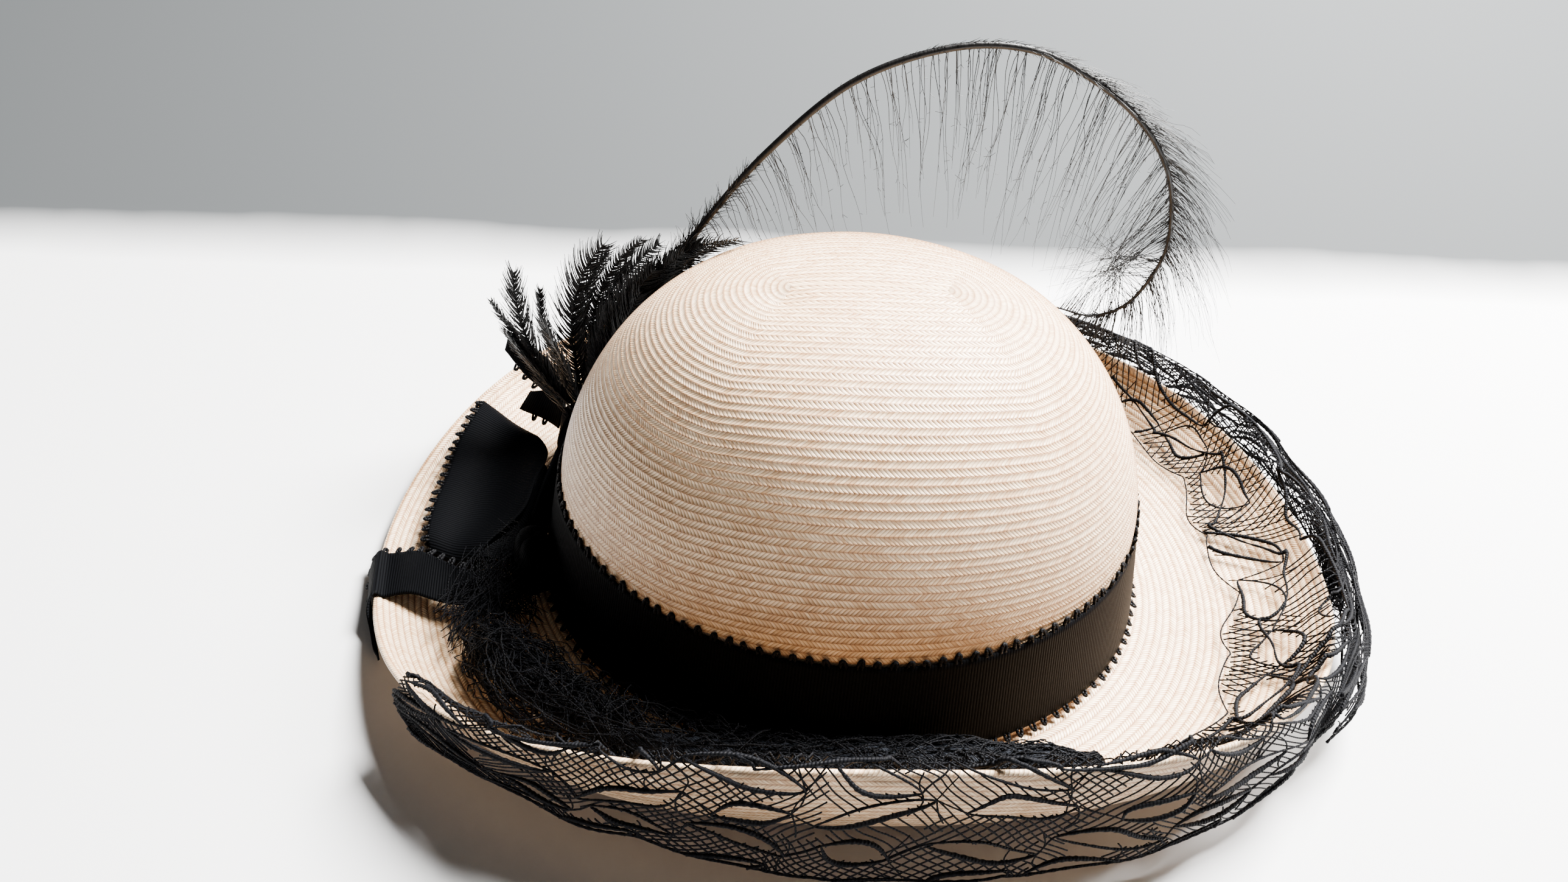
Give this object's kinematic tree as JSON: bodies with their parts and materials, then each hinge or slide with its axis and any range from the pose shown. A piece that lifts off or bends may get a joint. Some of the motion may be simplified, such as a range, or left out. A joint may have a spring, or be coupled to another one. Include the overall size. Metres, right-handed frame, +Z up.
{
  "type": "dress hat",
  "caption": "Woman's straw dress hat with a domed crown, rolled brim, black ribbon band and bow, curled feather plume and a coarse lace veil gathered round the brim.",
  "frame": {"origin": "middle of the hat's bounding box, at the level underside of the brim it rests on", "axes": "+Z up out of the crown, +X towards the wide rounded end of the brim opposite the bow, -Y towards the high rolled side"},
  "size_m": [0.3264, 0.2572, 0.1588],
  "materials": {
    "straw_braid": "satin, sewn straw braid",
    "black_grosgrain": "ribbed satin ribbon",
    "black_feather": "matt, soft",
    "black_net": "matt, cut through"
  },
  "bodies": {
    "root": {"crown": "straw_braid", "brim": "straw_braid", "band": "black_grosgrain", "bow_loop": "black_grosgrain", "bow_tail": "black_grosgrain", "bow_knot": "black_grosgrain", "bow_side_fold": "black_grosgrain", "bow_end_long": "black_grosgrain", "bow_end_short": "black_grosgrain", "hackles": "black_feather", "plume": "black_feather", "veil": "black_net", "veil_roll": "black_net"}
  },
  "joints": []
}
